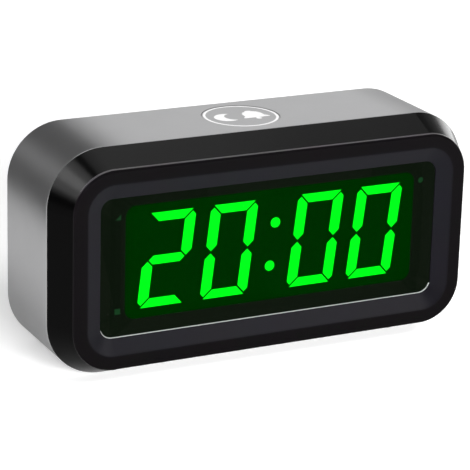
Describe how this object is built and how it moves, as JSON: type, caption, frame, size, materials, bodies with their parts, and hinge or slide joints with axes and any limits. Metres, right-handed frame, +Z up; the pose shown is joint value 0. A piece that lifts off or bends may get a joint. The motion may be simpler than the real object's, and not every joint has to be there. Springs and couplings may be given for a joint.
{
  "type": "digital alarm clock",
  "caption": "Free-standing digital alarm clock: wide rounded case, tapered gloss bezel, smoked window over lit slanted digits, round snooze cap on top, hinged battery door behind.",
  "frame": {"origin": "on the table under the middle of the clock", "axes": "+X to the right of a person facing the display, +Y from the display to the rear cover, +Z up"},
  "size_m": [0.148, 0.0458, 0.0749],
  "materials": {
    "bezel_black": "polished",
    "smoked_lens": "smoked acrylic",
    "mask_film": "printed film",
    "case_satin": "satin",
    "rear_black": "fine texture",
    "display_dark": "moulded",
    "segment_lit": "lit diffuser",
    "segment_dark": "unlit diffuser",
    "chip_cream": "moulded",
    "board_green": "solder mask",
    "bright_steel": "zinc plated",
    "cable_grey": "flexible jacket",
    "chip_black": "moulded",
    "capacitor_sleeve": "shrink sleeve",
    "button_rubber": "soft touch",
    "plunger_grey": "moulded",
    "knob_white": "moulded",
    "cell_jacket": "printed foil wrap",
    "contact_nickel": "nickel plated",
    "lead_red": "insulation",
    "screw_black": "black zinc",
    "foot_rubber": "moulded"
  },
  "bodies": {
    "clock": {"front_bezel": "bezel_black", "window_lens": "smoked_lens", "window_mask": "mask_film", "case_sleeve": "case_satin", "rear_cover": "rear_black", "digit_block": "display_dark", "digit_1": "segment_lit", "digit_2": "segment_lit", "digit_3": "segment_lit", "digit_4": "segment_lit", "colon_dots": "segment_lit", "unlit_segments": "segment_dark", "indicator_lamps": "segment_dark", "led_chips": "chip_cream", "ribbon_headers": "chip_cream", "display_board": "board_green", "main_board": "board_green", "snooze_board": "board_green", "display_screws": "bright_steel", "board_screws": "bright_steel", "snooze_screws": "bright_steel", "clock_crystal": "bright_steel", "alarm_switch_body": "bright_steel", "ribbon_cable": "cable_grey", "snooze_lead": "cable_grey", "controller_chip": "chip_black", "buzzer": "chip_black", "set_switches": "chip_black", "snooze_switch": "chip_black", "capacitors": "capacitor_sleeve", "aa_cells": "cell_jacket", "contact_springs": "contact_nickel", "contact_plates": "contact_nickel", "battery_leads": "lead_red", "rear_screws": "screw_black", "rubber_feet": "foot_rubber"},
    "snooze": {"snooze_button": "case_satin", "snooze_plunger": "plunger_grey"},
    "set_1": {"set_button_1": "button_rubber", "set_plunger_1": "plunger_grey"},
    "set_2": {"set_button_2": "button_rubber", "set_plunger_2": "plunger_grey"},
    "set_3": {"set_button_3": "button_rubber", "set_plunger_3": "plunger_grey"},
    "set_4": {"set_button_4": "button_rubber", "set_plunger_4": "plunger_grey"},
    "alarm_knob": {"alarm_switch_knob": "knob_white"},
    "door": {"battery_door": "rear_black"}
  },
  "joints": [
    {"name": "snooze_press", "type": "slide", "parent": "clock", "child": "snooze", "axis": [0, 0, -1], "range_m": [0, 0.0008], "stiffness_N_per_m": 800, "springref_m": -0.0005},
    {"name": "set_press_1", "type": "slide", "parent": "clock", "child": "set_1", "axis": [0, -1, 0], "range_m": [0, 0.0006], "stiffness_N_per_m": 1000, "springref_m": -0.0004},
    {"name": "set_press_2", "type": "slide", "parent": "clock", "child": "set_2", "axis": [0, -1, 0], "range_m": [0, 0.0006], "stiffness_N_per_m": 1000, "springref_m": -0.0004},
    {"name": "set_press_3", "type": "slide", "parent": "clock", "child": "set_3", "axis": [0, -1, 0], "range_m": [0, 0.0006], "stiffness_N_per_m": 1000, "springref_m": -0.0004},
    {"name": "set_press_4", "type": "slide", "parent": "clock", "child": "set_4", "axis": [0, -1, 0], "range_m": [0, 0.0006], "stiffness_N_per_m": 1000, "springref_m": -0.0004},
    {"name": "alarm_slide", "type": "slide", "parent": "clock", "child": "alarm_knob", "axis": [1, 0, 0], "range_m": [0, 0.003]},
    {"name": "door_hinge", "type": "hinge", "parent": "clock", "child": "door", "pos_m": [0, 0.0207, 0.00735], "axis": [-1, 0, 0], "range_deg": [0, 90]}
  ]
}
